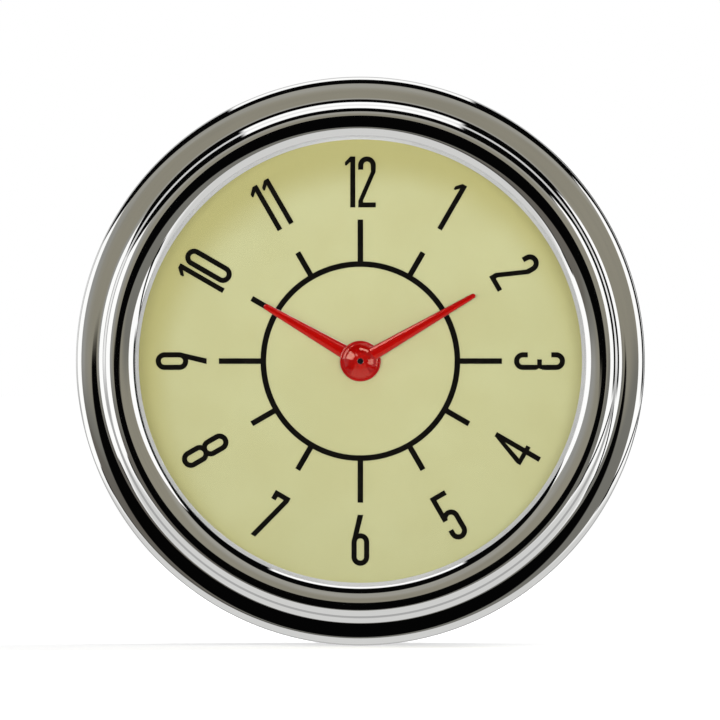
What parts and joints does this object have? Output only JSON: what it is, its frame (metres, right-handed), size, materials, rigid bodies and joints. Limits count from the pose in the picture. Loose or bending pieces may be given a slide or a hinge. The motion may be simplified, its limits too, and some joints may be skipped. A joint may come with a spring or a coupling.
{
  "type": "gauge clock",
  "caption": "Round two-hand dashboard clock with a stepped chrome bezel, ivory dial, red hands, cylindrical case and rear clamp bracket.",
  "frame": {"origin": "on the clock's axis, in the plane of the bezel's rear face, which seats on the panel", "axes": "-Y is the way the dial faces, +Y runs back along the case, +Z points to twelve o'clock, +X to three o'clock"},
  "size_m": [0.0616, 0.0602, 0.0616],
  "materials": {
    "chrome": "polished",
    "clear_glass": "polished",
    "gasket_rubber": "matt",
    "satin_ring": "satin",
    "ivory_dial": "matt",
    "dark_print": "matt",
    "red_lacquer": "gloss",
    "black_paint": "semi-gloss",
    "yellow_brass": "satin",
    "bright_steel": "bright",
    "zinc_plate": "zinc plated",
    "soft_iron": "dull",
    "ivory_plastic": "matt",
    "enamelled_copper": "gloss",
    "green_board": "satin",
    "black_plastic": "matt",
    "blue_sleeve": "gloss",
    "tan_body": "gloss",
    "brown_fibre": "matt",
    "bulb_glass": "polished"
  },
  "bodies": {
    "clock_case": {"bezel": "chrome", "lens": "clear_glass", "lens_gasket": "gasket_rubber", "trim_ring": "satin_ring", "dial": "ivory_dial", "dial_track": "dark_print", "numerals": "dark_print", "case": "black_paint", "front_plate": "yellow_brass", "back_plate": "yellow_brass", "plate_pillars": "bright_steel", "plate_screws": "bright_steel", "dial_posts": "bright_steel", "motion_post": "bright_steel", "stator": "soft_iron", "coil_core": "soft_iron", "coil_bobbin": "ivory_plastic", "coil_winding": "enamelled_copper", "circuit_board": "green_board", "quartz_crystal": "bright_steel", "clock_chip": "black_plastic", "capacitor": "blue_sleeve", "resistors": "tan_body", "case_pillars": "bright_steel", "case_screws": "bright_steel", "setting_bush": "yellow_brass", "terminal_studs": "yellow_brass", "terminal_insulators": "brown_fibre", "insulating_washers": "brown_fibre", "terminal_washers": "zinc_plate", "terminal_nuts": "yellow_brass", "lead_wires": "enamelled_copper", "clamp_studs": "zinc_plate", "bulb_socket": "black_plastic", "bulb": "bulb_glass"},
    "minute_hand_group": {"minute_hand": "red_lacquer", "centre_arbor": "bright_steel", "cannon_pinion": "yellow_brass", "centre_wheel": "yellow_brass", "friction_spring": "bright_steel"},
    "hour_hand_group": {"hour_hand": "red_lacquer", "hour_wheel": "yellow_brass"},
    "motion_wheel_group": {"motion_wheel": "yellow_brass", "motion_pinion": "bright_steel"},
    "intermediate_group": {"intermediate_wheel": "yellow_brass", "intermediate_arbor": "bright_steel"},
    "rotor_group": {"rotor_magnet": "soft_iron", "rotor_arbor": "bright_steel"},
    "setting_group": {"setting_arbor": "bright_steel", "setting_knob": "black_plastic"},
    "clamp_group": {"clamp_bracket": "zinc_plate", "clamp_washers": "zinc_plate"},
    "left_nut_group": {"left_thumb_nut": "yellow_brass"},
    "right_nut_group": {"right_thumb_nut": "yellow_brass"}
  },
  "joints": [
    {"name": "minute_hand_turn", "type": "hinge", "parent": "clock_case", "child": "minute_hand_group", "pos_m": [0, 0, 0], "axis": [0, 1, 0], "continuous": true},
    {"name": "hour_hand_turn", "type": "hinge", "parent": "clock_case", "child": "hour_hand_group", "pos_m": [0, 0, 0], "axis": [0, 1, 0], "continuous": true},
    {"name": "motion_wheel_turn", "type": "hinge", "parent": "clock_case", "child": "motion_wheel_group", "pos_m": [0, 0, -0.0072], "axis": [0, 1, 0], "continuous": true},
    {"name": "intermediate_turn", "type": "hinge", "parent": "clock_case", "child": "intermediate_group", "pos_m": [-0.009, 0, 0], "axis": [0, 1, 0], "continuous": true},
    {"name": "rotor_turn", "type": "hinge", "parent": "clock_case", "child": "rotor_group", "pos_m": [-0.00541, 0, 0.0077], "axis": [0, 1, 0], "continuous": true},
    {"name": "setting_knob_turn", "type": "hinge", "parent": "clock_case", "child": "setting_group", "pos_m": [0, 0, -0.0144], "axis": [0, 1, 0], "continuous": true},
    {"name": "clamp_slide", "type": "slide", "parent": "clock_case", "child": "clamp_group", "axis": [0, 1, 0], "range_m": [-0.0045, 0.004]},
    {"name": "left_nut_turn", "type": "hinge", "parent": "clamp_group", "child": "left_nut_group", "pos_m": [-0.019, 0, 0], "axis": [0, 1, 0], "range_deg": [-2315, 2058]},
    {"name": "right_nut_turn", "type": "hinge", "parent": "clamp_group", "child": "right_nut_group", "pos_m": [0.019, 0, 0], "axis": [0, 1, 0], "range_deg": [-2315, 2058]}
  ],
  "couplings": [
    {"joint": "hour_hand_turn", "follows": "minute_hand_turn", "ratio": 0.083333},
    {"joint": "motion_wheel_turn", "follows": "minute_hand_turn", "ratio": -0.33333},
    {"joint": "setting_knob_turn", "follows": "minute_hand_turn", "ratio": 1},
    {"joint": "intermediate_turn", "follows": "minute_hand_turn", "ratio": -8},
    {"joint": "rotor_turn", "follows": "minute_hand_turn", "ratio": 60},
    {"joint": "left_nut_turn", "follows": "clamp_slide", "rad_per_m": 8976},
    {"joint": "right_nut_turn", "follows": "clamp_slide", "rad_per_m": 8976}
  ]
}
